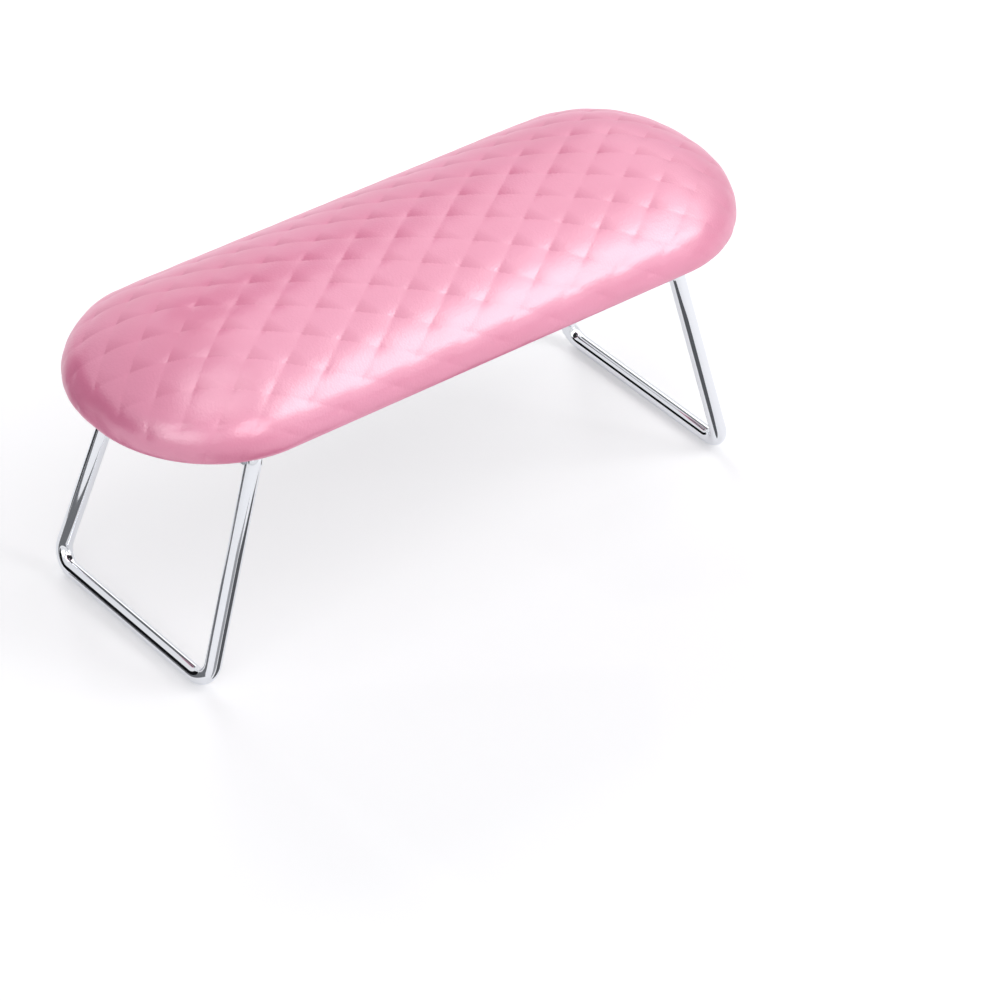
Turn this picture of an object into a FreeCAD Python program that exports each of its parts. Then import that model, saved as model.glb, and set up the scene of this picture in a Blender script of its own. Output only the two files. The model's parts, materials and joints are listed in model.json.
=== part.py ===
import FreeCAD, Part
import math
import os
from FreeCAD import Vector

# Folding arm rest stand: a long quilted cushion on two folding legs of round chromed rod.
# Millimetres. X runs along the cushion, Y across it, Z up.
# The origin is on the floor, under the middle of the cushion, with both legs open.

# Cushion, outside of the cover
cushion_length = 356.0
cushion_width = 130.0
cushion_thickness = 39.0
underside_height = 123.0
end_flat = 6.0
side_rise = 4.0
side_tuck = 2.0
shoulder_radius = 20.0

# Quilting of the cover: diamonds that run the length of the cushion
quilt_diagonal_x = 30.0
quilt_diagonal_y = 19.6
quilt_crossing_x = 1.3
quilt_crossing_y = 4.8
quilt_groove_width = 1.6
quilt_groove_depth = 1.0
quilt_stop_height = 9.0

# Layers of the cushion, from the outside in
cover_thickness = 1.8
wadding_thickness = 3.0
hem_width = 16.0
board_thickness = 9.0
board_edge_foam = 3.0
lining_thickness = 0.8
hem_show = 7.0

# Staples of the cover's hem and of the lining
staple_crown_length = 10.0
staple_crown_width = 1.2
staple_crown_height = 0.6
staple_leg_length = 7.0
staple_pitch = 24.0
hem_staple_inset = 14.0
lining_staple_inset = 3.5

# Legs: round rod
rod_radius = 4.0
rod_end_chamfer = 0.6
splay_angle = 16.0
pivot_edge_inset = 19.0
foot_edge_inset = 7.75
folded_gap = 3.3
foot_bend_radius = 10.0
pivot_bend_radius = 8.0
fold_angle = 90.0 + splay_angle

# Brackets: sheet steel with a rolled eye, a nylon bush in it and a stop lug beside the rod
bracket_sheet = 1.5
bracket_length = 34.0
bracket_corner_radius = 3.0
eye_length = 14.0
bush_wall = 0.8
running_gap = 0.06
eye_to_bend_gap = 1.2
stop_gap = 0.3
stop_lug_width = 9.0
stop_lug_drop = 7.5

# Bracket screws
screw_spacing = 24.0
screw_shank_radius = 1.75
screw_hole_clearance = 0.25
screw_shank_length = 11.0
screw_tip_length = 2.5
screw_head_radius = 3.3
screw_head_height = 2.0
screw_head_crown = 0.7
drive_slot_length = 3.8
drive_slot_width = 0.8
drive_slot_depth = 1.1

# Washer and push-on cap on each end of a rod
washer_radius = 5.8
washer_thickness = 0.8
washer_end_gap = 0.3
fitted_gap = 0.05
cap_flange_radius = 5.9
cap_flange_thickness = 0.9
cap_length = 4.5
cap_wall = 0.9
rod_in_cap = 3.0

# One overrun serves all cuts
overrun = 2.0

# Sizes that follow from the ones above
half_width = cushion_width / 2
corner_radius = half_width - end_flat / 2
corner_x = cushion_length / 2 - corner_radius
corner_y = half_width - corner_radius
side_radius = (side_rise ** 2 + side_tuck ** 2) / (2 * side_tuck)
board_bottom = underside_height + cover_thickness
board_top = board_bottom + board_thickness
lining_bottom = underside_height - lining_thickness
eye_inner_radius = rod_radius + running_gap + bush_wall
eye_outer_radius = eye_inner_radius + bracket_sheet
pivot_z = lining_bottom - eye_outer_radius
leg_reach = (pivot_z - rod_radius) / math.cos(math.radians(splay_angle))
pivot_x = leg_reach + rod_radius + folded_gap / 2
pivot_span = cushion_width - 2 * pivot_edge_inset
foot_span = cushion_width - 2 * foot_edge_inset
lean_angle = math.atan((foot_span - pivot_span) / 2 / leg_reach)
pivot_turn = math.pi / 2 - lean_angle
bend_start_y = pivot_span / 2 - pivot_bend_radius * math.tan(pivot_turn / 2)
eye_outer_y = bend_start_y - eye_to_bend_gap
eye_inner_y = eye_outer_y - eye_length
washer_outer_y = eye_inner_y - washer_end_gap
cap_outer_y = washer_outer_y - washer_thickness
rod_end_y = cap_outer_y - rod_in_cap

UP = Vector(0, 0, 1)
ALONG = Vector(1, 0, 0)
ACROSS = Vector(0, 1, 0)
CENTRE = Vector(0, 0, 0)


def save(name, shape):
    """Write one piece, or one group of like pieces, under its name."""
    shape.exportStep("parts/" + name + ".step")
    print(name, len(shape.Solids), "solids", round(shape.Volume, 1), "mm3", shape.isValid())


def box(low, high):
    """A box from its lowest corner to its highest one."""
    size = high - low
    return Part.makeBox(size.x, size.y, size.z, low)


# Crown of the section: the arc over the middle meets the shoulder arc without a kink
crown_drop = cushion_thickness - side_rise - shoulder_radius
crown_run = corner_radius - shoulder_radius
shoulder_turn = math.pi / 2 - 2 * math.atan(crown_drop / crown_run)
crown_offset = crown_run / math.cos(shoulder_turn)
crown_radius = crown_offset + shoulder_radius
crown_centre_height = side_rise - crown_offset * math.sin(shoulder_turn)


def section_outline(inset, floor_height, tucked):
    """Edges of half the cushion's section, inset from its outside, in the XZ plane.

    X is the distance out from the corner's centre, Z the height over the cover's lower edge.
    """
    shoulder_x = corner_radius - shoulder_radius
    reach = shoulder_radius - inset
    widest = Vector(corner_radius - inset, 0, side_rise)
    crown_reach = crown_radius - inset
    top = Vector(0, 0, crown_centre_height + crown_reach)
    meet = Vector(
        shoulder_x + reach * math.cos(shoulder_turn),
        0,
        side_rise + reach * math.sin(shoulder_turn),
    )
    half_turn = shoulder_turn / 2
    on_shoulder = Vector(
        shoulder_x + reach * math.cos(half_turn), 0, side_rise + reach * math.sin(half_turn)
    )
    crown_turn = (shoulder_turn + math.pi / 2) / 2
    on_crown = Vector(
        crown_reach * math.cos(crown_turn),
        0,
        crown_centre_height + crown_reach * math.sin(crown_turn),
    )
    if tucked:
        tuck_reach = side_radius - inset
        tuck_turn = math.asin((side_rise - floor_height) / tuck_reach)
        tuck_x = corner_radius - side_radius
        foot = Vector(tuck_x + tuck_reach * math.cos(tuck_turn), 0, floor_height)
        on_side = Vector(
            tuck_x + tuck_reach * math.cos(tuck_turn / 2),
            0,
            side_rise - tuck_reach * math.sin(tuck_turn / 2),
        )
        side = Part.Arc(foot, on_side, widest).toShape()
    else:
        foot = Vector(corner_radius - inset, 0, floor_height)
        side = Part.LineSegment(foot, widest).toShape()
    floor_middle = Vector(0, 0, floor_height)
    return [
        Part.LineSegment(floor_middle, foot).toShape(),
        side,
        Part.Arc(widest, on_shoulder, meet).toShape(),
        Part.Arc(meet, on_crown, top).toShape(),
        Part.LineSegment(top, floor_middle).toShape(),
    ]


def stretched(half_face):
    """Sweep a half section round the cushion's plan: four round corners, sides and middle."""
    blocks = []
    for turn, side_x, side_y in ((0, 1, 1), (90, -1, 1), (180, -1, -1), (270, 1, -1)):
        corner = half_face.copy()
        corner.rotate(CENTRE, UP, turn)
        corner = corner.revolve(CENTRE, UP, 90)
        corner.translate(Vector(side_x * corner_x, side_y * corner_y, 0))
        blocks.append(corner)
    for turn, side in ((0, 1), (180, -1)):
        end_block = half_face.copy()
        end_block.rotate(CENTRE, UP, turn)
        end_block.translate(Vector(side * corner_x, -corner_y, 0))
        blocks.append(end_block.extrude(Vector(0, 2 * corner_y, 0)))
    for turn, side in ((90, 1), (270, -1)):
        side_block = half_face.copy()
        side_block.rotate(CENTRE, UP, turn)
        side_block.translate(Vector(-corner_x, side * corner_y, 0))
        blocks.append(side_block.extrude(Vector(2 * corner_x, 0, 0)))
    middle_height = half_face.BoundBox
    blocks.append(
        box(
            Vector(-corner_x, -corner_y, middle_height.ZMin),
            Vector(corner_x, corner_y, middle_height.ZMax),
        )
    )
    whole = blocks[0].fuse(blocks[1:])
    return whole.removeSplitter().Solids[0]


def cushion_form(inset, floor_height, tucked):
    """The closed form of the cushion, inset from its outside and flat below."""
    face = Part.Face(Part.Wire(section_outline(inset, floor_height, tucked)))
    form = stretched(face)
    form.translate(Vector(0, 0, underside_height))
    return form


def plate_form(inset, bottom, top):
    """A flat plate with the cushion's plan, inset from its widest line."""
    radius = corner_radius - inset
    corners = []
    for turn, side_x, side_y in ((0, 1, 1), (90, -1, 1), (180, -1, -1), (270, 1, -1)):
        centre = Vector(side_x * corner_x, side_y * corner_y, bottom)
        corners.append((centre, turn))
    edges = []
    for index, (centre, turn) in enumerate(corners):
        ends = []
        for angle in (turn, turn + 45, turn + 90):
            a = math.radians(angle)
            ends.append(centre + Vector(radius * math.cos(a), radius * math.sin(a), 0))
        edges.append(Part.Arc(ends[0], ends[1], ends[2]).toShape())
        next_centre, next_turn = corners[(index + 1) % len(corners)]
        a = math.radians(next_turn)
        start = next_centre + Vector(radius * math.cos(a), radius * math.sin(a), 0)
        edges.append(Part.LineSegment(ends[2], start).toShape())
    face = Part.Face(Part.Wire(edges))
    return face.extrude(Vector(0, 0, top - bottom))


def quilt_channels(outside):
    """The channels along the seams of the quilting, as deep as the seams draw the cover in."""
    channel_floor = cushion_form(quilt_groove_depth, 0, False)
    slope = math.degrees(math.atan2(quilt_diagonal_y, quilt_diagonal_x))
    crossing = Vector(quilt_crossing_x, quilt_crossing_y, 0)
    reach_x = cushion_length / 2 + abs(crossing.x)
    reach_y = half_width + abs(crossing.y)
    last = int(reach_x / quilt_diagonal_x + reach_y / quilt_diagonal_y)
    bottom = underside_height + quilt_stop_height
    top = underside_height + cushion_thickness + overrun
    span = cushion_length + cushion_width
    slab = box(
        Vector(-span / 2, -quilt_groove_width / 2, bottom),
        Vector(span / 2, quilt_groove_width / 2, top),
    )
    channels = []
    for lean in (slope, -slope):
        for count in range(-last, last + 1):
            seam = slab.copy()
            seam.rotate(CENTRE, UP, lean)
            seam.translate(crossing + Vector(count * quilt_diagonal_x, 0, 0))
            channel = seam.common(outside).cut(channel_floor)
            if channel.Solids:
                channels.append(channel)
    return channels


def make_cover():
    """Quilted leather cover: a skin over the top and sides, with a hem turned under."""
    outside = cushion_form(0, 0, True)
    grooved = outside.cut(quilt_channels(outside))
    inside = cushion_form(cover_thickness, cover_thickness, True)
    opening = plate_form(
        side_tuck + hem_width, underside_height - overrun, board_bottom + overrun
    )
    return grooved.cut([inside, opening])


def make_wadding():
    """Soft wadding that the quilting is sewn through, open below."""
    outside = cushion_form(cover_thickness, cover_thickness, True)
    inside = cushion_form(cover_thickness + wadding_thickness, cover_thickness, False)
    return outside.cut(inside)


board_inset = cover_thickness + wadding_thickness + board_edge_foam


def make_board():
    """Plywood board that carries the foam and takes the staples and screws."""
    return plate_form(board_inset, board_bottom, board_top)


def make_foam():
    """Foam on the board and round its edge."""
    block = cushion_form(cover_thickness + wadding_thickness, cover_thickness, False)
    return block.cut(make_board())


def make_lining():
    """Woven lining over the hem and the underside of the board."""
    return plate_form(side_tuck + hem_show, lining_bottom, underside_height)


def make_staple(top):
    """One staple, its crown below and its legs up, as long as the crown is wide."""
    half = staple_crown_length / 2
    crown = box(
        Vector(-half, -staple_crown_width / 2, top - staple_crown_height),
        Vector(half, staple_crown_width / 2, top),
    )
    legs = []
    for side in (-1, 1):
        middle = side * (half - staple_crown_height / 2)
        legs.append(
            box(
                Vector(middle - staple_crown_height / 2, -staple_crown_width / 2, top),
                Vector(
                    middle + staple_crown_height / 2,
                    staple_crown_width / 2,
                    top + staple_leg_length,
                ),
            )
        )
    return crown.fuse(legs).removeSplitter().Solids[0]


def staple_ring(inset, top):
    """Staples in a row round the underside, inset from the cushion's widest line."""
    radius = corner_radius - inset
    straight_long = 2 * corner_x
    straight_short = 2 * corner_y
    quarter = radius * math.pi / 2
    staples = []
    count = int((2 * straight_long + 2 * straight_short + 4 * quarter) / staple_pitch)
    step = (2 * straight_long + 2 * straight_short + 4 * quarter) / count
    one = make_staple(top)
    for number in range(count):
        run = (number + 1 / 2) * step
        staple = one.copy()
        place, turn = point_round_plan(run, radius)
        staple.rotate(CENTRE, UP, turn)
        staple.translate(place)
        staples.append(staple)
    return Part.Compound(staples)


def point_round_plan(run, radius):
    """Place and direction in degrees at a distance run round the plan of the given radius."""
    quarter = radius * math.pi / 2
    legs = (
        (2 * corner_x, (-corner_x, -corner_y), 0),
        (2 * corner_y, (corner_x, -corner_y), 90),
        (2 * corner_x, (corner_x, corner_y), 180),
        (2 * corner_y, (-corner_x, corner_y), 270),
    )
    for length, start, turn in legs:
        a = math.radians(turn)
        heading = Vector(math.cos(a), math.sin(a), 0)
        outward = Vector(math.sin(a), -math.cos(a), 0)
        centre = Vector(start[0], start[1], 0)
        if run <= length:
            return centre + outward * radius + heading * run, turn
        run -= length
        if run <= quarter:
            part_turn = run / radius
            spoke = outward * math.cos(part_turn) + heading * math.sin(part_turn)
            return centre + heading * length + spoke * radius, turn + math.degrees(part_turn)
        run -= quarter
    return Vector(-corner_x, -corner_y - radius, 0), 0


def rounded_path(points, radii):
    """A wire of straight runs joined by tangent arcs, one radius for each inner point."""
    edges = []
    start = points[0]
    for before, here, after, radius in zip(points, points[1:], points[2:], radii):
        into = (here - before).normalize()
        out = (after - here).normalize()
        turn = into.getAngle(out)
        tangent = radius * math.tan(turn / 2)
        arc_start = here - into * tangent
        arc_end = here + out * tangent
        inward = (out - into).normalize()
        middle = here + inward * (radius / math.cos(turn / 2) - radius)
        edges.append(Part.LineSegment(start, arc_start).toShape())
        edges.append(Part.Arc(arc_start, middle, arc_end).toShape())
        start = arc_end
    edges.append(Part.LineSegment(start, points[-1]).toShape())
    return Part.Wire(edges)


def open_leg(shape):
    """Swing a leg piece, made hanging straight down, out to its open place."""
    placed = shape.copy()
    placed.rotate(CENTRE, ACROSS, -splay_angle)
    placed.translate(Vector(pivot_x, 0, pivot_z))
    return placed


def make_rod():
    """One leg: a single rod bent four times, its ends turned inward as pivots."""
    points = [
        Vector(0, -rod_end_y, 0),
        Vector(0, -pivot_span / 2, 0),
        Vector(0, -foot_span / 2, -leg_reach),
        Vector(0, foot_span / 2, -leg_reach),
        Vector(0, pivot_span / 2, 0),
        Vector(0, rod_end_y, 0),
    ]
    radii = [pivot_bend_radius, foot_bend_radius, foot_bend_radius, pivot_bend_radius]
    path = rounded_path(points, radii)
    circle = Part.makeCircle(rod_radius, points[0], ACROSS)
    rod = path.makePipeShell([Part.Wire([circle])], True, False)
    rod = Part.Solid(rod.Shells[0])
    ends = []
    for edge in rod.Edges:
        at_end = abs(abs(edge.CenterOfMass.y) - rod_end_y) < rod_end_chamfer / 2
        if at_end and abs(edge.BoundBox.YLength) < rod_end_chamfer / 2:
            ends.append(edge)
    return open_leg(rod.makeChamfer(rod_end_chamfer, ends))


def on_rod_end(shape, side):
    """Put a piece made along +Y from the bracket inward on one end of the rod."""
    placed = shape.copy()
    if side < 0:
        placed = placed.mirror(CENTRE, ACROSS)
    return open_leg(placed)


def make_washers():
    """The flat washer between each eye and its cap."""
    washers = []
    for side in (1, -1):
        start = Vector(0, cap_outer_y, 0)
        ring = Part.makeCylinder(washer_radius, washer_thickness, start, ACROSS)
        bore = Part.makeCylinder(rod_radius + fitted_gap, washer_thickness, start, ACROSS)
        washers.append(on_rod_end(ring.cut(bore), side))
    return Part.Compound(washers)


def make_caps():
    """The push-on cap that keeps each end of the rod in its eye."""
    body_radius = rod_radius + fitted_gap + cap_wall
    caps = []
    for side in (1, -1):
        inner_end = cap_outer_y - cap_length
        flange = Part.makeCylinder(
            cap_flange_radius,
            cap_flange_thickness,
            Vector(0, cap_outer_y - cap_flange_thickness, 0),
            ACROSS,
        )
        body = Part.makeCylinder(body_radius, cap_length, Vector(0, inner_end, 0), ACROSS)
        rims = [e for e in body.Edges if abs(e.BoundBox.YMax - inner_end) < cap_wall / 2]
        body = body.makeFillet(cap_wall, rims)
        bore = Part.makeCylinder(
            rod_radius + fitted_gap,
            rod_in_cap + fitted_gap,
            Vector(0, rod_end_y - fitted_gap, 0),
            ACROSS,
        )
        caps.append(on_rod_end(flange.fuse(body).cut(bore), side))
    return Part.Compound(caps)


def make_bracket():
    """One bracket of the right leg at the rear: plate, rolled eye, arm and stop lug."""
    plate_bottom = lining_bottom - bracket_sheet
    half = bracket_length / 2
    plate = box(
        Vector(pivot_x - half, eye_inner_y, plate_bottom),
        Vector(pivot_x + half, eye_outer_y, lining_bottom),
    )
    arm_outer_y = eye_outer_y + stop_lug_width
    flank = rod_radius + stop_gap
    lug = box(
        Vector(flank, eye_outer_y, -stop_lug_drop),
        Vector(flank + bracket_sheet, arm_outer_y, eye_outer_radius + overrun),
    )
    lug = open_leg(lug)
    lug_edge = min(
        v.X for v in lug.section(Part.makePlane(
            4 * half, 4 * half, Vector(pivot_x - 2 * half, -half, plate_bottom), UP
        )).Vertexes
    )
    keep = box(
        Vector(pivot_x - 2 * half, -cushion_width, 0),
        Vector(pivot_x + 2 * half, cushion_width, lining_bottom),
    )
    lug = lug.common(keep)
    arm = box(
        Vector(lug_edge, eye_outer_y, plate_bottom),
        Vector(pivot_x + half, arm_outer_y, lining_bottom),
    )
    eye = Part.makeCylinder(
        eye_outer_radius, eye_length, Vector(pivot_x, eye_inner_y, pivot_z), ACROSS
    )
    sheet = plate.fuse([arm, lug, eye]).removeSplitter()
    sheet = round_upright_corners(sheet, half)
    bore = Part.makeCylinder(
        eye_inner_radius,
        eye_length + 2 * overrun,
        Vector(pivot_x, eye_inner_y - overrun, pivot_z),
        ACROSS,
    )
    holes = [bore]
    for place in screw_places():
        holes.append(
            Part.makeCylinder(
                screw_shank_radius + screw_hole_clearance,
                bracket_sheet + 2 * overrun,
                place - UP * (bracket_sheet + overrun),
                UP,
            )
        )
    return sheet.cut(holes).Solids[0]


def round_upright_corners(sheet, half):
    """Round the plate's outer corners, seen from above."""
    corners = []
    for edge in sheet.Edges:
        extent = edge.BoundBox
        upright = abs(extent.ZLength - bracket_sheet) < fitted_gap
        slim = extent.XLength < fitted_gap and extent.YLength < fitted_gap
        at_end = abs(abs(extent.XMin - pivot_x) - half) < fitted_gap
        if upright and slim and at_end:
            corners.append(edge)
    return sheet.makeFillet(bracket_corner_radius, corners)


def screw_places():
    """Where the screws of the right rear bracket go through the lining's lower face."""
    middle_y = (eye_inner_y + eye_outer_y) / 2
    return [
        Vector(pivot_x + side * screw_spacing / 2, middle_y, lining_bottom) for side in (-1, 1)
    ]


def make_bush():
    """Nylon bush of the right rear bracket, pressed into the eye."""
    start = Vector(pivot_x, eye_inner_y, pivot_z)
    sleeve = Part.makeCylinder(eye_inner_radius, eye_length, start, ACROSS)
    bore = Part.makeCylinder(rod_radius + running_gap, eye_length, start, ACROSS)
    return sleeve.cut(bore)


def make_screw(place):
    """One pan head wood screw, its head under the bracket and its point up."""
    head_top = place - UP * bracket_sheet
    shank_top = head_top + UP * (screw_shank_length - screw_tip_length)
    head = Part.makeCylinder(
        screw_head_radius, screw_head_height, head_top - UP * screw_head_height, UP
    )
    rims = [e for e in head.Edges if e.BoundBox.ZMax < head_top.z - screw_head_crown]
    head = head.makeFillet(screw_head_crown, rims)
    shank = Part.makeCylinder(
        screw_shank_radius, screw_shank_length - screw_tip_length, head_top, UP
    )
    tip = Part.makeCone(screw_shank_radius, 0, screw_tip_length, shank_top, UP)
    screw = head.fuse([shank, tip])
    slot_bottom = head_top - UP * screw_head_height
    slots = []
    for long_x, long_y in (
        (drive_slot_length, drive_slot_width),
        (drive_slot_width, drive_slot_length),
    ):
        slots.append(
            box(
                slot_bottom + Vector(-long_x / 2, -long_y / 2, -overrun),
                slot_bottom + Vector(long_x / 2, long_y / 2, drive_slot_depth),
            )
        )
    return screw.cut(slots).Solids[0]


def at_corner(shape, side_x, side_y):
    """Mirror a piece of the right rear corner to one of the four corners."""
    placed = shape.copy()
    if side_x < 0:
        placed = placed.mirror(CENTRE, ALONG)
    if side_y < 0:
        placed = placed.mirror(CENTRE, ACROSS)
    return placed


save("cushion_cover", make_cover())
save("quilt_wadding", make_wadding())
save("foam_core", make_foam())
save("base_board", make_board())
hem_crown_top = underside_height + staple_crown_height
save("hem_staples", staple_ring(side_tuck + hem_staple_inset, hem_crown_top))
save("underside_lining", make_lining())
lining_row = side_tuck + hem_show + lining_staple_inset
save("lining_staples", staple_ring(lining_row, lining_bottom))

bracket = make_bracket()
bush = make_bush()
corner_screws = Part.Compound([make_screw(place) for place in screw_places()])
all_screws = []
for end_name, side_x in (("left", -1), ("right", 1)):
    for edge_name, side_y in (("front", -1), ("rear", 1)):
        corner_name = end_name + "_" + edge_name
        save(corner_name + "_bracket", at_corner(bracket, side_x, side_y))
        save(corner_name + "_bush", at_corner(bush, side_x, side_y))
        all_screws.extend(at_corner(corner_screws, side_x, side_y).Solids)
save("bracket_screws", Part.Compound(all_screws))

rod = make_rod()
washers = make_washers()
caps = make_caps()
for end_name, side_x in (("left", -1), ("right", 1)):
    save(end_name + "_leg", at_corner(rod, side_x, 1))
    save(end_name + "_washers", at_corner(washers, side_x, 1))
    save(end_name + "_end_caps", at_corner(caps, side_x, 1))

print("pivot height", pivot_z, "leg reach", leg_reach, "legs fold through", fold_angle)
print("foot bar x", pivot_x + leg_reach * math.sin(math.radians(splay_angle)))
print("pivot from the middle", pivot_x)
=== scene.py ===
import json
import math

import bmesh
import bpy
from mathutils import Matrix, Vector, kdtree, noise


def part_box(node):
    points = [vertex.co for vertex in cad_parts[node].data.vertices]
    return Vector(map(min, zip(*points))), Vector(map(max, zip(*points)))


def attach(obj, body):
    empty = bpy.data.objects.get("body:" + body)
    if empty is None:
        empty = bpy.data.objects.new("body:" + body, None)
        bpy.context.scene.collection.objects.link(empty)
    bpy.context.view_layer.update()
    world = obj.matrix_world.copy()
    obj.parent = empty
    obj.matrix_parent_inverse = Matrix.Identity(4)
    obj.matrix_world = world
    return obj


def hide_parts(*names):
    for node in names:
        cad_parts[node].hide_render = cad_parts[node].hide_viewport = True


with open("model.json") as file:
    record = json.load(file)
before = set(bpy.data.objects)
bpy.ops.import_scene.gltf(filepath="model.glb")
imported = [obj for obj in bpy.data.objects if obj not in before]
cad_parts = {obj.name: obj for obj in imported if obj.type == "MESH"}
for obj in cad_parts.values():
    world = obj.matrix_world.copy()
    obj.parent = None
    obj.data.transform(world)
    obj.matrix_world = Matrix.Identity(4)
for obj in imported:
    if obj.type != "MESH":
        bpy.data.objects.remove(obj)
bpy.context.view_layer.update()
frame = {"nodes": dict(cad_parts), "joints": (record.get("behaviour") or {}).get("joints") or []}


# Base board. A 9 mm plywood board cut to the cushion's plan, with sanded faces.
# It carries the foam, and all the staples and screws are driven into it.
board_ply_pale = (222, 196, 152)
board_ply_dark = (176, 138, 92)
board_ply_thickness = 0.0018
board_ply_stretch = (0.02, 0.02, 1)
board_grain_size = 0.004
board_grain_stretch = (0.05, 1, 0.05)
board_grain_depth = 0.0002


def paint(colour):
    """A paint chart colour, 0 to 255, as the light that it reflects."""
    shares = []
    for level in colour:
        share = level / 255
        if share <= 0.04045:
            shares.append(share / 12.92)
        else:
            shares.append(((share + 0.055) / 1.055) ** 2.4)
    return (shares[0], shares[1], shares[2], 1.0)


class Finish:
    """A surface finish in the making: a shader with grain, colour and bumps added to it."""

    def __init__(self, name, colour, roughness, metallic=0.0):
        self.material = bpy.data.materials.new(name)
        self.material.use_nodes = True
        self.nodes = self.material.node_tree.nodes
        self.links = self.material.node_tree.links
        self.shader = self.nodes["Principled BSDF"]
        self.place = self.nodes.new("ShaderNodeTexCoord").outputs["Object"]
        self.normal = None
        self.shader.inputs["Base Color"].default_value = paint(colour)
        self.shader.inputs["Roughness"].default_value = roughness
        self.shader.inputs["Metallic"].default_value = metallic

    def stretched_place(self, stretch):
        """The place on the object, stretched along its axes."""
        mapping = self.nodes.new("ShaderNodeMapping")
        mapping.inputs["Scale"].default_value = stretch
        self.links.new(self.place, mapping.inputs["Vector"])
        return mapping.outputs["Vector"]

    def cloud(self, size, detail=3.0, stretch=(1, 1, 1)):
        """Soft cloudy variation, 0 to 1, with clouds of the given size."""
        texture = self.nodes.new("ShaderNodeTexNoise")
        texture.inputs["Scale"].default_value = 1 / size
        texture.inputs["Detail"].default_value = detail
        self.links.new(self.stretched_place(stretch), texture.inputs["Vector"])
        return texture.outputs["Fac"]

    def cells(self, size):
        """Pebbled cells of the given size, as the distance from each cell's middle."""
        texture = self.nodes.new("ShaderNodeTexVoronoi")
        texture.inputs["Scale"].default_value = 1 / size
        self.links.new(self.place, texture.inputs["Vector"])
        return texture.outputs["Distance"]

    def measure(self, value, low, high, new_low, new_high):
        """A value stretched from one range to another."""
        span = self.nodes.new("ShaderNodeMapRange")
        self.links.new(value, span.inputs["Value"])
        span.inputs["From Min"].default_value = low
        span.inputs["From Max"].default_value = high
        span.inputs["To Min"].default_value = new_low
        span.inputs["To Max"].default_value = new_high
        return span.outputs["Result"]

    def blend_paint(self, share, first, second):
        """A colour between two paints, or between a colour made before and a paint."""
        mix = self.nodes.new("ShaderNodeMix")
        mix.data_type = "RGBA"
        self.links.new(share, mix.inputs["Factor"])
        for socket, value in ((mix.inputs["A"], first), (mix.inputs["B"], second)):
            if isinstance(value, tuple):
                socket.default_value = paint(value)
            else:
                self.links.new(value, socket)
        return mix.outputs["Result"]

    def set_colour(self, value):
        self.links.new(value, self.shader.inputs["Base Color"])

    def set_roughness(self, value, low, high):
        """Roughness from low to high as the value goes from 0 to 1."""
        self.links.new(self.measure(value, 0, 1, low, high), self.shader.inputs["Roughness"])

    def bump(self, height, depth):
        """Raise the surface by a height of 0 to 1, times a depth in metres."""
        bump = self.nodes.new("ShaderNodeBump")
        bump.inputs["Distance"].default_value = depth
        self.links.new(height, bump.inputs["Height"])
        if self.normal is not None:
            self.links.new(self.normal, bump.inputs["Normal"])
        self.normal = bump.outputs["Normal"]
        self.links.new(self.normal, self.shader.inputs["Normal"])


def dress(node, finish):
    """Give a CAD node its finish in every slot of its mesh."""
    piece = frame["nodes"][node]
    if not piece.material_slots:
        piece.data.materials.append(finish.material)
    for slot in piece.material_slots:
        slot.material = finish.material


plywood = Finish("sanded plywood", board_ply_pale, 0.7)
plies = plywood.cloud(board_ply_thickness, 1.0, board_ply_stretch)
grain = plywood.cloud(board_grain_size, 6.0, board_grain_stretch)
plywood.set_colour(
    plywood.blend_paint(
        plywood.measure(plies, 0.4, 0.6, 0, 1),
        plywood.blend_paint(grain, board_ply_pale, board_ply_dark),
        board_ply_dark,
    )
)
plywood.bump(grain, board_grain_depth)
dress("base_board", plywood)


# Foam pad. One block of cream upholstery foam, cut to a crown and glued to the board,
# with a lip that goes down round the board's edge. It fills the cover from inside.
foam_cream = (238, 229, 201)
foam_dark_cream = (224, 212, 178)
foam_patch_size = 0.02
foam_cell_size = 0.0007
foam_cell_depth = 0.0003
foam_inset = 0.0048
end_flat = 0.006
side_rise = 0.004
side_tuck = 0.002
shoulder_radius = 0.020

cover_low, cover_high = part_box("cushion_cover")
half_length = cover_high.x
half_width = cover_high.y
lower_edge = cover_low.z
thickness = cover_high.z - cover_low.z
corner_radius = half_width - end_flat / 2
corner_x = half_length - corner_radius
corner_y = half_width - corner_radius
side_radius = (side_rise**2 + side_tuck**2) / (2 * side_tuck)
tuck_turn = math.asin(side_rise / side_radius)
crown_drop = thickness - side_rise - shoulder_radius
crown_run = corner_radius - shoulder_radius
shoulder_turn = math.pi / 2 - 2 * math.atan(crown_drop / crown_run)
crown_offset = crown_run / math.cos(shoulder_turn)
crown_radius = crown_offset + shoulder_radius
crown_centre = side_rise - crown_offset * math.sin(shoulder_turn)
crown_arc = crown_radius * (math.pi / 2 - shoulder_turn)
shoulder_arc = shoulder_radius * shoulder_turn
side_arc = side_radius * tuck_turn


def cushion_section(run):
    """The outside of the cushion's section at a distance run down the skin from its crown.

    Gives the distance out from the corner's centre, the height over the lower edge, and
    the skin's slope as the outward and upward parts of its normal.
    """
    if run <= crown_arc:
        turn = math.pi / 2 - run / crown_radius
        out = crown_radius * math.cos(turn)
        height = crown_centre + crown_radius * math.sin(turn)
    elif run <= crown_arc + shoulder_arc:
        turn = shoulder_turn - (run - crown_arc) / shoulder_radius
        out = corner_radius - shoulder_radius + shoulder_radius * math.cos(turn)
        height = side_rise + shoulder_radius * math.sin(turn)
    else:
        turn = -(run - crown_arc - shoulder_arc) / side_radius
        out = corner_radius - side_radius + side_radius * math.cos(turn)
        height = side_rise + side_radius * math.sin(turn)
    return out, height, math.cos(turn), math.sin(turn)


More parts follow.
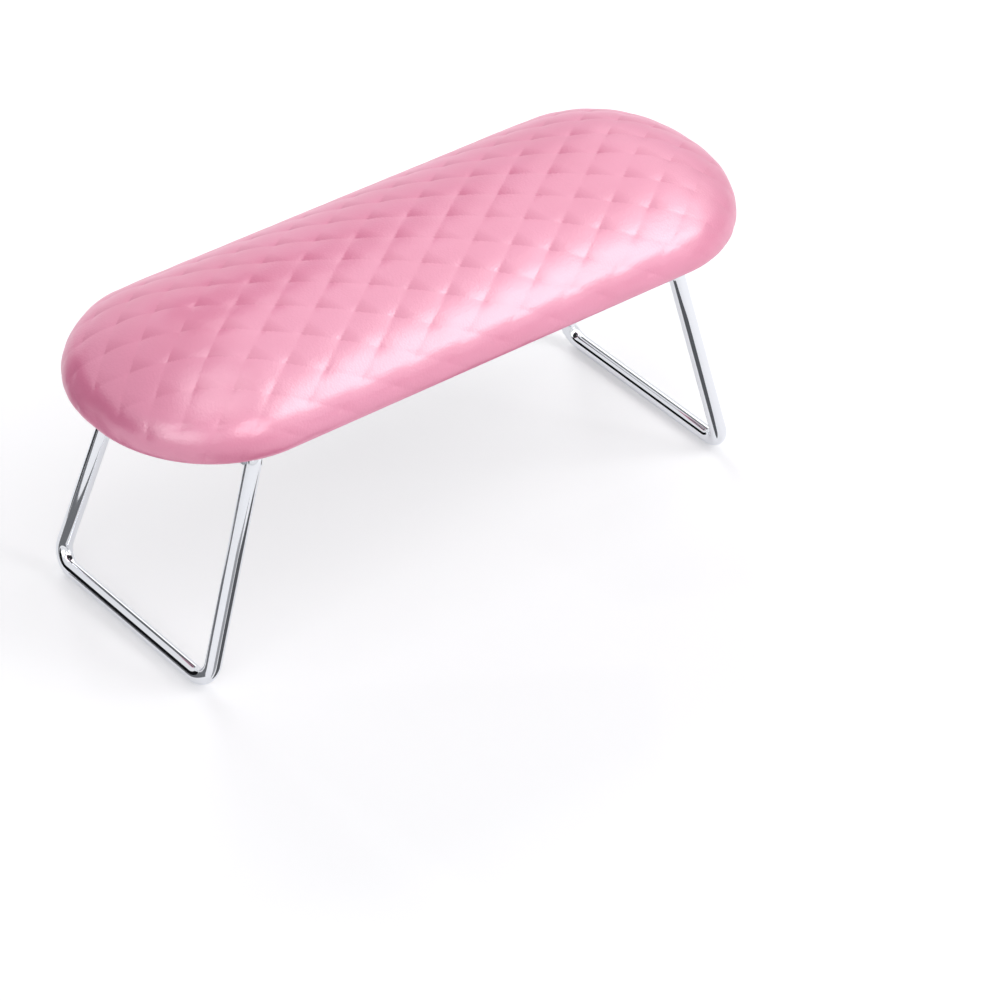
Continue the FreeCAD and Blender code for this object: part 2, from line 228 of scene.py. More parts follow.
def plan_spokes(long_steps, short_steps, corner_steps):
    """Spokes round the cushion's plan, each a centre and an outward direction."""
    spokes = []
    corners = ((1, 1, 0), (-1, 1, 90), (-1, -1, 180), (1, -1, 270))
    straights = (long_steps, short_steps, long_steps, short_steps)
    for index, (side_x, side_y, first) in enumerate(corners):
        centre = Vector((side_x * corner_x, side_y * corner_y))
        for step in range(corner_steps + 1):
            turn = math.radians(first + 90 * step / corner_steps)
            spokes.append((centre, Vector((math.cos(turn), math.sin(turn)))))
        next_x, next_y, next_first = corners[(index + 1) % 4]
        far = Vector((next_x * corner_x, next_y * corner_y))
        turn = math.radians(next_first)
        outward = Vector((math.cos(turn), math.sin(turn)))
        for step in range(1, straights[index]):
            spokes.append((centre.lerp(far, step / straights[index]), outward))
    return spokes


def mesh_piece(name, shape, finish, body):
    """Make a smooth piece of a bmesh, with its finish, riding on a body."""
    mesh = bpy.data.meshes.new(name)
    shape.to_mesh(mesh)
    shape.free()
    piece = bpy.data.objects.new(name, mesh)
    bpy.context.scene.collection.objects.link(piece)
    mesh.materials.append(finish.material)
    for face in mesh.polygons:
        face.use_smooth = True
    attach(piece, body)
    return piece


def ring_shape(spokes, rows, caps):
    """A bmesh of rows round the plan; each row gives a point for each spoke's index."""
    shape = bmesh.new()
    rings = []
    for row in rows:
        rings.append([shape.verts.new(row(index)) for index in range(len(spokes))])
    pairs = list(zip(rings, rings[1:]))
    if not caps:
        pairs.append((rings[-1], rings[0]))
    for inner, outer in pairs:
        for index in range(len(spokes)):
            after = (index + 1) % len(spokes)
            shape.faces.new((inner[index], outer[index], outer[after], inner[after]))
    return shape, rings


foam_spokes = plan_spokes(40, 2, 14)
foam_rows = []
foam_run_steps = 22
foam_run_end = crown_arc + shoulder_arc


def inset_row(run, inset):
    """One row round the plan that follows the cover's outside, inset from it."""
    out, height, outward, upward = cushion_section(run)

    def at(index):
        centre, spoke = foam_spokes[index]
        place = centre + spoke * (out - outward * inset)
        return (place.x, place.y, lower_edge + height - upward * inset)

    return at


def level_row(spokes, out, height):
    """One level row round the plan at a distance out from the corners' centres."""

    def at(index):
        centre, spoke = spokes[index]
        place = centre + spoke * out
        return (place.x, place.y, height)

    return at


board_low, board_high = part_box("base_board")
board_out = board_high.y - corner_y
foam_gap = 0.0001
for step in range(foam_run_steps + 1):
    foam_rows.append(inset_row(foam_run_end * step / foam_run_steps, foam_inset))
foam_rows.append(level_row(foam_spokes, corner_radius - foam_inset, board_low.z + foam_gap))
foam_rows.append(level_row(foam_spokes, board_out + foam_gap, board_low.z + foam_gap))
foam_rows.append(level_row(foam_spokes, board_out + foam_gap, board_high.z + foam_gap))
foam_rows.append(level_row(foam_spokes, 0, board_high.z + foam_gap))
foam_shape, foam_rings = ring_shape(foam_spokes, foam_rows, True)


def close_middle(shape, ring):
    """Close the flat strip between the corners' centres with one face."""
    bmesh.ops.remove_doubles(shape, verts=ring, dist=1e-6)
    left = [vertex for vertex in ring if vertex.is_valid]
    shape.faces.new(left)


close_middle(foam_shape, foam_rings[0])
close_middle(foam_shape, foam_rings[-1])
bmesh.ops.recalc_face_normals(foam_shape, faces=foam_shape.faces)
foam = Finish("cream upholstery foam", foam_cream, 0.95)
foam.bump(foam.cells(foam_cell_size), foam_cell_depth)
foam.set_colour(foam.blend_paint(foam.cloud(foam_patch_size), foam_cream, foam_dark_cream))
foam_piece = mesh_piece("foam_pad", foam_shape, foam, "top")
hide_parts("foam_core")


# Wadding. A sheet of white polyester wadding, bonded to the back of the cover, which the
# quilting is pressed through. It gives each diamond its soft swell.
wadding_white = (240, 240, 236)
wadding_outer_inset = 0.0019
wadding_inner_inset = 0.0047
wadding_foot_inset = 0.0032
wadding_fluff_size = 0.003
wadding_fluff_depth = 0.001
wadding_rows = []
for step in range(foam_run_steps + 1):
    wadding_rows.append(inset_row(foam_run_end * step / foam_run_steps, wadding_outer_inset))
wadding_foot = board_low.z + foam_gap
for inset in (wadding_foot_inset, wadding_inner_inset):
    wadding_rows.append(level_row(foam_spokes, corner_radius - inset, wadding_foot))
for step in range(foam_run_steps, -1, -1):
    wadding_rows.append(inset_row(foam_run_end * step / foam_run_steps, wadding_inner_inset))
wadding_shape, wadding_rings = ring_shape(foam_spokes, wadding_rows, True)
close_middle(wadding_shape, wadding_rings[0])
close_middle(wadding_shape, wadding_rings[-1])
bmesh.ops.recalc_face_normals(wadding_shape, faces=wadding_shape.faces)
wadding = Finish("white wadding", wadding_white, 1.0)
wadding.bump(wadding.cloud(wadding_fluff_size, 6.0), wadding_fluff_depth)
wadding_piece = mesh_piece("wadding_sheet", wadding_shape, wadding, "top")
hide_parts("quilt_wadding")


# Cover. Pink leathercloth pressed with diamond quilting, pulled tight over the foam
# and round the board's edge, and turned under in a hem that gathers at the ends.
cover_pink = (228, 121, 159)
cover_pink_light = (232, 128, 166)
# Painted shade: a deeper pink laid into each diamond's left corner, where the light from the right
# leaves it in shade.
painted_shade_pink = (214, 96, 139)
leather_gloss = 2.3
leather_smoothest = 0.28
leather_roughest = 0.36
leather_shade_size = 0.05
leather_grain_size = 0.0011
leather_grain_depth = 0.00005
leather_pore_size = 0.0006
leather_pore_depth = 0.00002
cover_skin = 0.0018
diamond_x = 0.030
diamond_y = 0.0196
crossing_x = 0.0013
crossing_y = 0.0048
pad_swell = 0.00014
pad_roundness = 2.2
pinch_depth = 0.0006
pinch_share = 0.24
# The wedge of painted shade: how far it reaches along and across each diamond from its left corner,
# and how fast it fades.
painted_shade_along = 0.50
painted_shade_across = 0.85
painted_shade_sharpness = 0.8
edge_fade = 0.004
pull_flat = 0.40
# How much the painted shade eases off round the shoulder.
painted_shade_ease = 0.75
pull_length = 0.022
pull_start = 0.8
skin_wander_size = 0.045
skin_wander = 0.00005
hem_width = 0.0160
hem_inner_lift = 0.0012
hem_inner_step = 0.0014
pleat_height = 0.0005
pleats_per_metre = 260
slow_pleat_share = 0.6
slow_pleat_pace = 0.37
slow_pleat_start = 1.7
straight_pleat_share = 0.25
pleat_ends = 2.4
cover_row_step = 0.0007
cover_long_steps = 320
cover_short_steps = 8
cover_spokes = plan_spokes(cover_long_steps, cover_short_steps, 120)
skin_run_end = crown_arc + shoulder_arc + side_arc
blank_steps = 26
blank_voxel = 0.005
blank_pressure = 4.0
blank_frames = 20
swell_limit = 0.0007
swell_reach = 0.012


def blown_cover():
    """How far the foam pushes each part of the plain cover out, from a cloth simulation."""
    rows = [inset_row(skin_run_end * step / blank_steps, 0) for step in range(blank_steps + 1)]
    rows.append(level_row(foam_spokes, 0, lower_edge))
    shape, rings = ring_shape(foam_spokes, rows, True)
    close_middle(shape, rings[0])
    close_middle(shape, rings[-1])
    bmesh.ops.recalc_face_normals(shape, faces=shape.faces)
    mesh = bpy.data.meshes.new("cover blank")
    shape.to_mesh(mesh)
    shape.free()
    blank = bpy.data.objects.new("cover blank", mesh)
    bpy.context.scene.collection.objects.link(blank)
    remesh = blank.modifiers.new("even cloth", "REMESH")
    remesh.mode = "VOXEL"
    remesh.voxel_size = blank_voxel
    graph = bpy.context.evaluated_depsgraph_get()
    blank.data = bpy.data.meshes.new_from_object(blank.evaluated_get(graph))
    blank.modifiers.clear()
    held = blank.vertex_groups.new(name="stapled to the board")
    low = [v.index for v in blank.data.vertices if v.co.z < lower_edge + blank_voxel]
    held.add(low, 1.0, "REPLACE")
    cloth = blank.modifiers.new("pushed out by foam", "CLOTH")
    cloth.settings.use_pressure = True
    cloth.settings.uniform_pressure_force = blank_pressure
    cloth.settings.vertex_group_mass = held.name
    cloth.settings.effector_weights.gravity = 0
    cloth.point_cache.frame_end = blank_frames
    starts = [(v.co.copy(), v.normal.copy()) for v in blank.data.vertices]
    for frame_number in range(1, blank_frames + 1):
        bpy.context.scene.frame_set(frame_number)
    graph = bpy.context.evaluated_depsgraph_get()
    pushed = blank.evaluated_get(graph).data.vertices
    swells = [
        (place, (vertex.co - place).dot(normal))
        for (place, normal), vertex in zip(starts, pushed)
    ]
    bpy.context.scene.frame_set(1)
    bpy.data.objects.remove(blank)
    return swells


blown = blown_cover()
blown_tree = kdtree.KDTree(max(1, len(blown)))
for index, (place, swell) in enumerate(blown):
    blown_tree.insert(place, index)
blown_tree.balance()
if blown:
    pushes = [swell for place, swell in blown if place.z > lower_edge + thickness / 2]
    usual_push = sum(pushes) / len(pushes)


def foam_push(place):
    """How much further than usual the foam pushes the cover out at a place."""
    total = 0.0
    shares = 0.0
    for spot, index, gap in blown_tree.find_range(place, swell_reach):
        share = (1 - (gap / swell_reach) ** 2) ** 2
        total += share * (blown[index][1] - usual_push)
        shares += share
    if shares == 0:
        return 0.0
    return max(-swell_limit, min(swell_limit, total / shares))


def quilting(across, along):
    """Height of the quilted skin and its painted shade, at a place on the flat cloth.

    Each diamond swells a little between its seams, and is pinched down at its corners.
    Its left corner gets painted shade, a deeper pink that stands in for the shade there.
    """
    share_x = (across - crossing_x) / diamond_x
    share_y = (along - crossing_y) / diamond_y
    first = share_x + share_y
    second = share_x - share_y
    rise = -2 * pad_swell * pad_roundness / (pad_roundness + 1)
    corner = 0.0
    for place in (first, second):
        off = abs(place - round(place))
        rise += pad_swell * (1 - (1 - 2 * off) ** pad_roundness)
        corner += off
    rise -= pinch_depth * math.exp(-corner / pinch_share)
    # A wedge of painted shade at each diamond's left corner, fading toward its middle.
    depth = (first - math.floor(first)) / painted_shade_along
    depth += (second - math.floor(second)) / painted_shade_across
    return rise, max(0.0, 1 - depth) ** painted_shade_sharpness


def unevenness(place, size, amount):
    """A slow, slight wander of the skin, as no two cushions are pulled quite alike."""
    return noise.noise(Vector(place) / size) * amount


cover_rings = []
cover_shape = bmesh.new()
# Each point carries its share of painted shade.
painted_shade_layer = cover_shape.verts.layers.float.new("painted_shade")


def skin_point(centre, spoke, run):
    """A point of the quilted skin, with its share of painted shade."""
    out, height, outward, upward = cushion_section(run)
    flat = centre + spoke * run
    rise, painted_shade = quilting(flat.x, flat.y)
    fade = min(1.0, max(0.0, (skin_run_end - run) / edge_fade))
    pulled = min(1.0, max(0.0, (run - crown_arc) / pull_length + pull_start))
    rise *= 1 - pull_flat * pulled
    # The painted shade eases off round the shoulder.
    painted_shade *= 1 - painted_shade_ease * pulled
    base = centre + spoke * out
    rise += unevenness((base.x, base.y, height), skin_wander_size, skin_wander)
    rise += foam_push((base.x, base.y, lower_edge + height))
    rise *= fade
    place = centre + spoke * (out + outward * rise)
    return (place.x, place.y, lower_edge + height + upward * rise), painted_shade * fade


def add_cover_row(points):
    """Add one row of the cover; points gives each spoke's place and share of painted shade."""
    ring = []
    for place, painted_shade in points:
        vertex = cover_shape.verts.new(place)
        vertex[painted_shade_layer] = painted_shade
        ring.append(vertex)
    cover_rings.append(ring)


cover_row_count = round(skin_run_end / cover_row_step)
for step in range(cover_row_count + 1):
    run = skin_run_end * step / cover_row_count
    add_cover_row([skin_point(centre, spoke, run) for centre, spoke in cover_spokes])

edge_out, edge_height, edge_outward, edge_upward = cushion_section(skin_run_end)
hem_rows = 26
plan_run = [0.0]
for (centre, spoke), (next_centre, next_spoke) in zip(cover_spokes, cover_spokes[1:]):
    here = centre + spoke * corner_radius
    there = next_centre + next_spoke * corner_radius
    plan_run.append(plan_run[-1] + (there - here).length)


def hem_point(index, share):
    """A point of the hem below, from the folded edge at 0 to its cut edge at 1."""
    centre, spoke = cover_spokes[index]
    out = edge_out - hem_width * share
    corner_share = 1.0 if abs(spoke.x * spoke.y) > 1e-6 else straight_pleat_share
    gather = math.sin(plan_run[index] * pleats_per_metre * math.tau / 2)
    slow_turn = plan_run[index] * pleats_per_metre * slow_pleat_pace * math.tau
    gather += slow_pleat_share * math.sin(slow_turn + slow_pleat_start)
    strength = math.sin(math.pi * share * pleat_ends) if share < 1 / pleat_ends else 0.0
    drop = -abs(gather) * pleat_height * corner_share * strength
    place = centre + spoke * out
    return (place.x, place.y, lower_edge + drop)


for step in range(1, hem_rows + 1):
    share = step / hem_rows
    add_cover_row([(hem_point(index, share), 0.0) for index in range(len(cover_spokes))])

inner_out = edge_out - hem_width
inner_side = corner_radius - cover_skin
for out in (inner_out, inner_side - hem_inner_step):
    row = level_row(cover_spokes, out, lower_edge + hem_inner_lift)
    add_cover_row([(row(index), 0.0) for index in range(len(cover_spokes))])
inner_steps = 14
for step in range(inner_steps, -1, -1):
    out, height, outward, upward = cushion_section(foam_run_end * step / inner_steps)
    ring_points = []
    for centre, spoke in cover_spokes:
        place = centre + spoke * max(0.0, out - outward * cover_skin)
        ring_points.append(((place.x, place.y, lower_edge + height - upward * cover_skin), 0.0))
    add_cover_row(ring_points)

for inner, outer in zip(cover_rings, cover_rings[1:]):
    for index in range(len(cover_spokes)):
        after = (index + 1) % len(cover_spokes)
        cover_shape.faces.new((inner[index], outer[index], outer[after], inner[after]))


def fill_strip(ring, long_steps, short_steps, raised):
    """Fill the strip between the corners' centres with a grid that meets the ring."""
    columns = []
    for step in range(long_steps + 1):
        column = []
        for rung in range(short_steps + 1):
            x = corner_x * (2 * step / long_steps - 1)
            y = corner_y * (2 * rung / short_steps - 1)
            rise, painted_shade = quilting(x, y)
            rise += unevenness((x, y, thickness), skin_wander_size, skin_wander)
            rise += foam_push((x, y, lower_edge + thickness))
            if not raised:
                rise = -cover_skin
                painted_shade = 0.0
            vertex = cover_shape.verts.new((x, y, lower_edge + thickness + rise))
            vertex[painted_shade_layer] = painted_shade
            column.append(vertex)
        columns.append(column)
    for left, right in zip(columns, columns[1:]):
        for rung in range(short_steps):
            corners = (left[rung], right[rung], right[rung + 1], left[rung + 1])
            cover_shape.faces.new(corners if raised else corners[::-1])
    rim = [v for column in columns for v in column]
    bmesh.ops.remove_doubles(cover_shape, verts=rim + ring, dist=2e-6)


fill_strip(cover_rings[0], cover_long_steps, cover_short_steps, True)
fill_strip(cover_rings[-1], cover_long_steps, cover_short_steps, False)
bmesh.ops.recalc_face_normals(cover_shape, faces=cover_shape.faces)

leather = Finish("pink quilted leathercloth", cover_pink, 0.4)
leather.shader.inputs["IOR"].default_value = leather_gloss
# The deeper pink blended in by each point's share is painted shade.
painted_shade_share = leather.nodes.new("ShaderNodeAttribute")
painted_shade_share.attribute_name = "painted_shade"
leather_grain = leather.cells(leather_grain_size)
leather_pores = leather.cloud(leather_pore_size, 4.0)
leather_shade = leather.cloud(leather_shade_size, 2.0)
plain_pink = leather.blend_paint(
    leather.measure(leather_shade, 0.35, 0.65, 0, 1), cover_pink, cover_pink_light
)
leather.set_colour(
    leather.blend_paint(
        leather.measure(painted_shade_share.outputs["Fac"], 0, 1, 0, 1), plain_pink, painted_shade_pink
    )
)
leather.set_roughness(leather_pores, leather_smoothest, leather_roughest)
leather.bump(leather_grain, leather_grain_depth)
leather.bump(leather_pores, leather_pore_depth)
cover = mesh_piece("quilted_cover", cover_shape, leather, "top")
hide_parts("cushion_cover")


# Hem staples and lining staples. Galvanised wire staples with 10 mm crowns, shot up into
# the board: one row pins the cover's hem, a second row outside it pins the lining.
staple_wire = (178, 180, 182)
staple_finish = Finish("galvanised staple wire", staple_wire, 0.38, 1.0)
staple_finish.set_roughness(staple_finish.cloud(0.002), 0.28, 0.5)
staple_finish.bump(staple_finish.cloud(0.0006, 4.0), 0.00003)
dress("hem_staples", staple_finish)
dress("lining_staples", staple_finish)


# Lining. Thin black non-woven cloth, folded in at its edge and stapled over the hem.
# It is pulled flat, hangs a hair low between the staples and puckers at each of them.
lining_black = (30, 30, 32)
lining_dot = (46, 46, 49)
lining_dot_pitch = 0.0016
lining_spokes = plan_spokes(180, 6, 60)
lining_row_step = 0.0014
lining_cloth = 0.00035
lining_fold = 0.010
lining_fold_lift = 1.8
lining_fold_slope = 1.1
lining_droop = 0.0003
lining_droop_reach = 0.012
lining_pucker = 0.0004
lining_pucker_reach = 0.007
lining_wander = 0.0002
lining_wander_size = 0.05
lining_calm = 0.020
lining_dot_depth = 0.00012
lining_fibre_size = 0.0005
lining_fibre_depth = 0.00006
staple_inset = 0.0035
staple_pitch = 0.024

lining_low, lining_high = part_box("underside_lining")
lining_out = lining_high.y - corner_y
staple_row = lining_out - staple_inset
staple_quarter = staple_row * math.pi / 2
staple_path = 4 * corner_x + 4 * corner_y + 4 * staple_quarter
staple_step = staple_path / int(staple_path / staple_pitch)
staple_run = [2 * corner_x + 2 * corner_y + staple_quarter]
for (centre, spoke), (next_centre, next_spoke) in zip(lining_spokes, lining_spokes[1:]):
    gap = (next_centre + next_spoke * staple_row) - (centre + spoke * staple_row)
    staple_run.append(staple_run[-1] + gap.length)


def lining_point(index, out):
    """A point of the lining's lower face, at a distance out from its corner's centre."""
    centre, spoke = lining_spokes[index]
    place = centre + spoke * out
    turn = math.tau * staple_run[index] / staple_step
    between = (1 + math.cos(turn)) / 2
    droop = lining_droop * between * math.exp(-abs(out - lining_out) / lining_droop_reach)
    pucker = math.cos(3 * turn) * (1 - between) ** 2
    pucker *= math.exp(-abs(staple_row - out) / lining_pucker_reach)
    wander = unevenness((place.x, place.y, 0), lining_wander_size, lining_wander)
    wander *= min(1.0, out / lining_calm)
    ridge = lining_cloth / 2 if out > lining_out - lining_fold else 0.0
    height = lining_low.z + lining_cloth / 2 - droop + pucker * lining_pucker / 2
    return (place.x, place.y, height + wander - ridge)


def lining_row(out, lift):
    """One row of the lining, lifted from its lower face."""

    def at(index):
        x, y, z = lining_point(index, out)
        return (x, y, z + lift)

    return at


lining_count = round(lining_out / lining_row_step)
lining_rows = [lining_row(lining_out * step / lining_count, 0) for step in range(lining_count + 1)]
lining_rows.append(lining_row(lining_out, lining_cloth * lining_fold_lift))
lining_rows.append(lining_row(lining_out - lining_fold, lining_cloth * lining_fold_lift))
lining_rows.append(lining_row(lining_out - lining_fold * lining_fold_slope, lining_cloth))
lining_rows.append(lining_row(0, lining_cloth))
lining_shape, lining_rings = ring_shape(lining_spokes, lining_rows, True)
close_middle(lining_shape, lining_rings[0])
close_middle(lining_shape, lining_rings[-1])
bmesh.ops.recalc_face_normals(lining_shape, faces=lining_shape.faces)
lining_finish = Finish("black non-woven lining", lining_black, 0.85)
dots = lining_finish.cells(lining_dot_pitch)
fibres = lining_finish.cloud(lining_fibre_size, 5.0, (1, 0.4, 1))
lining_finish.set_colour(
    lining_finish.blend_paint(lining_finish.measure(dots, 0.1, 0.5, 1, 0), lining_black, lining_dot)
)
lining_finish.set_roughness(fibres, 0.75, 0.95)
lining_finish.bump(dots, lining_dot_depth)
lining_finish.bump(fibres, lining_fibre_depth)
lining = mesh_piece("lining_sheet", lining_shape, lining_finish, "top")
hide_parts("underside_lining")


# Brackets. Pressed steel plates with a rolled eye for the rod and a lug that stops it,
# bright zinc plated, one at each corner, held by two screws each.
zinc_bright = (205, 207, 212)
corner_names = ("left_front", "left_rear", "right_front", "right_rear")
zinc = Finish("bright zinc plate", zinc_bright, 0.22, 1.0)
zinc.set_roughness(zinc.cloud(0.006), 0.16, 0.34)
zinc.bump(zinc.cloud(0.0008, 4.0), 0.00002)
for corner in corner_names:
    dress(corner + "_bracket", zinc)


# Bushes. White nylon sleeves pressed into the eyes, which the rod turns in.
nylon_white = (226, 225, 218)
nylon = Finish("natural nylon", nylon_white, 0.45)
nylon.bump(nylon.cloud(0.001), 0.00003)
for corner in corner_names:
    dress(corner + "_bush", nylon)


# Screws, washers and caps. Zinc plated wood screws through the brackets, and on each
# end of a rod a flat washer and a push-on cap that keep it in its eye.
dress("bracket_screws", staple_finish)
for end in ("left", "right"):
    dress(end + "_washers", staple_finish)
    dress(end + "_end_caps", zinc)


# Legs. Each is one length of 8 mm steel rod, bent four times and chromed: a foot bar,
# two sides that lean in and out, and two ends turned inward through the eyes.
rod_radius = 0.004
rod_chamfer = 0.0006
pivot_span = 0.092
foot_span = 0.1145
foot_bend_radius = 0.010
pivot_bend_radius = 0.008
rod_end = 0.01944
chrome_tint = (226, 228, 232)
splay = math.radians(16.0)
rod_sides = 48
bend_steps = 20

chrome = Finish("mirror chrome", chrome_tint, 0.06, 1.0)
chrome.set_roughness(chrome.cloud(0.01, 2.0), 0.03, 0.09)
chrome.bump(chrome.cloud(0.012, 1.0, (1, 1, 0.2)), 0.00002)


def rounded_line(points, radii):
    """Points and directions along straight runs joined by tangent arcs."""
    line = [(points[0], (points[1] - points[0]).normalized())]
    for before, here, after, radius in zip(points, points[1:], points[2:], radii):
        into = (here - before).normalized()
        out = (after - here).normalized()
        turn = into.angle(out)
        start = here - into * radius * math.tan(turn / 2)
        toward = (out - into * into.dot(out)).normalized()
        centre = start + toward * radius
        for step in range(bend_steps + 1):
            angle = turn * step / bend_steps
            spoke = -toward * math.cos(angle) + into * math.sin(angle)
            heading = into * math.cos(angle) + toward * math.sin(angle)
            line.append((centre + spoke * radius, heading))
    line.append((points[-1], (points[-1] - points[-2]).normalized()))
    return line


def rod_shape(line):
    """A round rod along a flat line, with chamfered ends."""
    shape = bmesh.new()
    square = Vector((1, 0, 0))
    rings = []

    def add_ring(place, heading, radius):
        side = square.cross(heading).normalized()
        ring = []
        for step in range(rod_sides):
            angle = math.tau * step / rod_sides
            spoke = square * math.cos(angle) + side * math.sin(angle)
            ring.append(shape.verts.new(place + spoke * radius))
        rings.append(ring)

    first, first_heading = line[0]
    last, last_heading = line[-1]
    add_ring(first, first_heading, rod_radius - rod_chamfer)
    add_ring(first + first_heading * rod_chamfer, first_heading, rod_radius)
    for place, heading in line[1:-1]:
        add_ring(place, heading, rod_radius)
    add_ring(last - last_heading * rod_chamfer, last_heading, rod_radius)
    add_ring(last, last_heading, rod_radius - rod_chamfer)
    for back, front in zip(rings, rings[1:]):
        for step in range(rod_sides):
            after = (step + 1) % rod_sides
            shape.faces.new((back[step], back[after], front[after], front[step]))
    shape.faces.new(rings[0][::-1])
    shape.faces.new(rings[-1])
    bmesh.ops.recalc_face_normals(shape, faces=shape.faces)
    return shape


for joint in frame["joints"]:
    body = joint["child"]
    pivot = Vector(joint["pos_m"])
    side = 1 if pivot.x > 0 else -1
    reach = (pivot.z - rod_radius) / math.cos(splay)
    corners = [
        Vector((0, -rod_end, 0)),
        Vector((0, -pivot_span / 2, 0)),
        Vector((0, -foot_span / 2, -reach)),
        Vector((0, foot_span / 2, -reach)),
        Vector((0, pivot_span / 2, 0)),
        Vector((0, rod_end, 0)),
    ]
    radii = (pivot_bend_radius, foot_bend_radius, foot_bend_radius, pivot_bend_radius)
    shape = rod_shape(rounded_line(corners, radii))
    swing = Matrix.Rotation(-side * splay, 4, "Y")
    shape.transform(Matrix.Translation(pivot) @ swing)
    leg = mesh_piece(body + "_rod", shape, chrome, body)
    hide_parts(body)


# Floor. A plain white sweep, larger than the picture, which keeps the soft shadow.
floor_size = 12.0
floor_white = (238, 238, 240)
floor_glow = 0.27
floor_shape = bmesh.new()
floor_corners = []
for x, y in ((-1, -1), (1, -1), (1, 1), (-1, 1)):
    floor_corners.append(floor_shape.verts.new((x * floor_size / 2, y * floor_size / 2, 0)))
floor_shape.faces.new(floor_corners)
floor_mesh = bpy.data.meshes.new("floor")
floor_shape.to_mesh(floor_mesh)
floor_shape.free()
floor = bpy.data.objects.new("floor", floor_mesh)
bpy.context.scene.collection.objects.link(floor)
floor_finish = Finish("white sweep", floor_white, 0.9)
paths = floor_finish.nodes.new("ShaderNodeLightPath")
seen = floor_finish.nodes.new("ShaderNodeMath")
seen.operation = "MAXIMUM"
floor_finish.links.new(paths.outputs["Is Camera Ray"], seen.inputs[0])
floor_finish.links.new(paths.outputs["Is Glossy Ray"], seen.inputs[1])
glow = floor_finish.nodes.new("ShaderNodeEmission")
both = floor_finish.nodes.new("ShaderNodeAddShader")
strength = floor_finish.measure(seen.outputs["Value"], 0, 1, 0, floor_glow)
floor_finish.links.new(strength, glow.inputs["Strength"])
floor_finish.links.new(floor_finish.shader.outputs["BSDF"], both.inputs[0])
floor_finish.links.new(glow.outputs["Emission"], both.inputs[1])
floor_output = floor_finish.nodes["Material Output"]
floor_finish.links.new(both.outputs["Shader"], floor_output.inputs["Surface"])
floor_mesh.materials.append(floor_finish.material)


# Lights. Soft windows at the front right, low at the front, overhead, at the left and at
# the back, in an even pale room. The front right one is the photo's main light.
cushion_middle = Vector((0, 0, 0.13))


def direction(azimuth, height):
    """The direction to a place round the stand, from its azimuth and height in degrees."""
    turn = math.radians(azimuth)
    lift = math.radians(height)
    return Vector(
        (math.cos(lift) * math.cos(turn), math.cos(lift) * math.sin(turn), math.sin(lift))
    )


def panel(name, azimuth, height, distance, width, depth, share):
    """A soft rectangular light that looks at the cushion.

    Its share is what it adds to a surface that faces it, where 1 lights a paint as written.
    """
    toward = direction(azimuth, height)
    light = bpy.data.lights.new(name, "AREA")
    light.shape = "RECTANGLE"
    light.size = width
    light.size_y = depth
    light.energy = share * (math.pi * distance) ** 2
    lamp = bpy.data.objects.new(name, light)
    lamp.location = cushion_middle + toward * distance
    lamp.rotation_euler = toward.to_track_quat("Z", "Y").to_euler()
    bpy.context.scene.collection.objects.link(lamp)


# Each row gives azimuth and height in degrees, distance, width and depth in metres, share.
panel("front_window", -46, 38, 1.6, 0.75, 0.78, 0.24)
panel("low_window", -62, 16, 1.8, 0.6, 0.6, 0.13)
panel("roof_window", -100, 80, 1.8, 1.2, 1.2, 0.16)
panel("near_window", -150, 24, 2.2, 1.4, 1.0, 0.17)
panel("back_window", 75, 30, 1.8, 1.0, 1.0, 0.40)
# These two would burn out the cushion's gloss when it is seen from the other side.
for unmirrored in ("low_window", "back_window"):
    bpy.data.objects[unmirrored].visible_glossy = False

room_white = (250, 250, 252)
room_strength = 0.42
room_seen = 1.0
room = bpy.data.worlds.new("pale room")
room.use_nodes = True
room_nodes = room.node_tree.nodes
room_air = room_nodes["Background"]
room_air.inputs["Color"].default_value = paint(room_white)
room_paths = room_nodes.new("ShaderNodeLightPath")
room_mirrored = room_nodes.new("ShaderNodeMath")
room_mirrored.operation = "MAXIMUM"
room_level = room_nodes.new("ShaderNodeMapRange")
room_level.inputs["To Min"].default_value = room_strength
room_level.inputs["To Max"].default_value = room_seen
for output, place in (("Is Camera Ray", 0), ("Is Glossy Ray", 1)):
    room.node_tree.links.new(room_paths.outputs[output], room_mirrored.inputs[place])
room.node_tree.links.new(room_mirrored.outputs["Value"], room_level.inputs["Value"])
room.node_tree.links.new(room_level.outputs["Result"], room_air.inputs["Strength"])
bpy.context.scene.world = room


# Dark cards. A tall one at the back on the left, and grey ones laid on the floor, draw
# the black and grey lines along the chrome. They show in reflections alone.
def card(name, corners, shade, glow=1.0):
    """A flat card that shows in reflections alone, from its corners, shade and glow."""
    shape = bmesh.new()
    shape.faces.new([shape.verts.new(corner) for corner in corners])
    mesh = bpy.data.meshes.new(name)
    shape.to_mesh(mesh)
    shape.free()
    piece = bpy.data.objects.new(name, mesh)
    bpy.context.scene.collection.objects.link(piece)
    cloth = Finish(name + " cloth", (0, 0, 0), 1.0)
    cloth.shader.inputs["Emission Color"].default_value = paint(shade)
    cloth.shader.inputs["Emission Strength"].default_value = glow
    cloth.shader.inputs["Specular IOR Level"].default_value = 0.0
    mesh.materials.append(cloth.material)
    piece.visible_camera = False
    piece.visible_diffuse = False
    piece.visible_shadow = False


